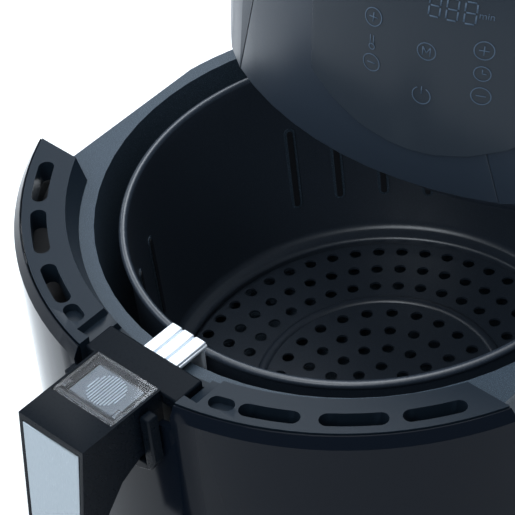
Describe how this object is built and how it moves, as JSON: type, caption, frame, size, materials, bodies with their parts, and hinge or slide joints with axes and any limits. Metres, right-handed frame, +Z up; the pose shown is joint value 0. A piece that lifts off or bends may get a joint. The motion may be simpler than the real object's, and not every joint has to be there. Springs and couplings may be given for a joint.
{
  "type": "air fryer",
  "caption": "Round basket air fryer with its drawer pulled out, lift-out perforated basket on a handle, slotted drawer trim, flip cover over the release button and a touch panel.",
  "frame": {"origin": "centre of the bounding box at the underside of the feet, drawer pulled out", "axes": "+Z up, -Y towards the handle and the user, +X to the right when looking at the front"},
  "size_m": [0.3016, 0.5124, 0.34],
  "materials": {
    "shell": "satin black housing",
    "fascia": "fine satin slate",
    "panel_gloss": "smooth dark panel",
    "base_plastic": "matt black",
    "rubber": "soft black",
    "sheet_steel": "aluminised sheet",
    "bright_steel": "bright drawn steel",
    "circuit_board": "green laminate",
    "coated_metal": "dark non-stick coating",
    "trim": "satin blue-black",
    "skin_gloss": "polished black",
    "handle_plastic": "satin black",
    "brushed_plate": "brushed along its length",
    "clip_metal": "bright satin",
    "clear": "clear moulded plastic",
    "button_grey": "light grey"
  },
  "bodies": {
    "housing": {"top_cover": "shell", "side_shell_left": "shell", "side_shell_right": "shell", "rear_cover": "shell", "front_fascia": "fascia", "control_overlay": "panel_gloss", "base_plate": "base_plastic", "door_switch": "base_plastic", "exhaust_grille": "base_plastic", "foot_front_left": "rubber", "foot_front_right": "rubber", "foot_rear_left": "rubber", "foot_rear_right": "rubber", "power_inlet": "rubber", "chamber_liner": "sheet_steel", "chamber_roof": "sheet_steel", "rail_left": "sheet_steel", "rail_right": "sheet_steel", "fan_hood": "sheet_steel", "motor_plate": "sheet_steel", "plate_post_1": "sheet_steel", "plate_post_2": "sheet_steel", "plate_post_3": "sheet_steel", "plate_post_4": "sheet_steel", "heater_element": "bright_steel", "fan_guard": "bright_steel", "motor": "bright_steel", "control_board": "circuit_board", "power_board": "circuit_board"},
    "drawer": {"pan": "coated_metal", "drawer_trim": "trim", "drawer_skin": "skin_gloss", "skin_bracket": "base_plastic", "slot_channel_left": "base_plastic", "slot_channel_right": "base_plastic"},
    "basket": {"basket_wall": "coated_metal", "basket_floor": "coated_metal", "basket_bracket": "clip_metal", "handle_bar": "handle_plastic", "mounting_tab": "handle_plastic", "handle_grip": "handle_plastic", "handle_plate": "brushed_plate", "button_spring": "bright_steel"},
    "cover": {"clear_cover": "clear"},
    "button": {"release_button": "button_grey", "button_stem": "bright_steel"},
    "fan": {"motor_shaft": "bright_steel", "convection_fan": "sheet_steel", "cooling_fan": "base_plastic"}
  },
  "joints": [
    {"name": "drawer_slide", "type": "slide", "parent": "housing", "child": "drawer", "axis": [0, -1, 0], "range_m": [-0.158, 0.1]},
    {"name": "basket_lift", "type": "slide", "parent": "drawer", "child": "basket", "axis": [0, 0, 1], "range_m": [0, 0.01]},
    {"name": "cover_flip", "type": "hinge", "parent": "basket", "child": "cover", "pos_m": [0, -0.22308, 0.171], "axis": [1, 0, 0], "range_deg": [0, 95]},
    {"name": "button_press", "type": "slide", "parent": "basket", "child": "button", "axis": [0, 0, -1], "range_m": [0, 0.003], "stiffness_N_per_m": 400, "springref_m": -0.0008, "deforming": ["button_spring"]},
    {"name": "fan_spin", "type": "hinge", "parent": "housing", "child": "fan", "pos_m": [0, 0.10542, 0.216], "axis": [0, 0, 1], "continuous": true}
  ]
}
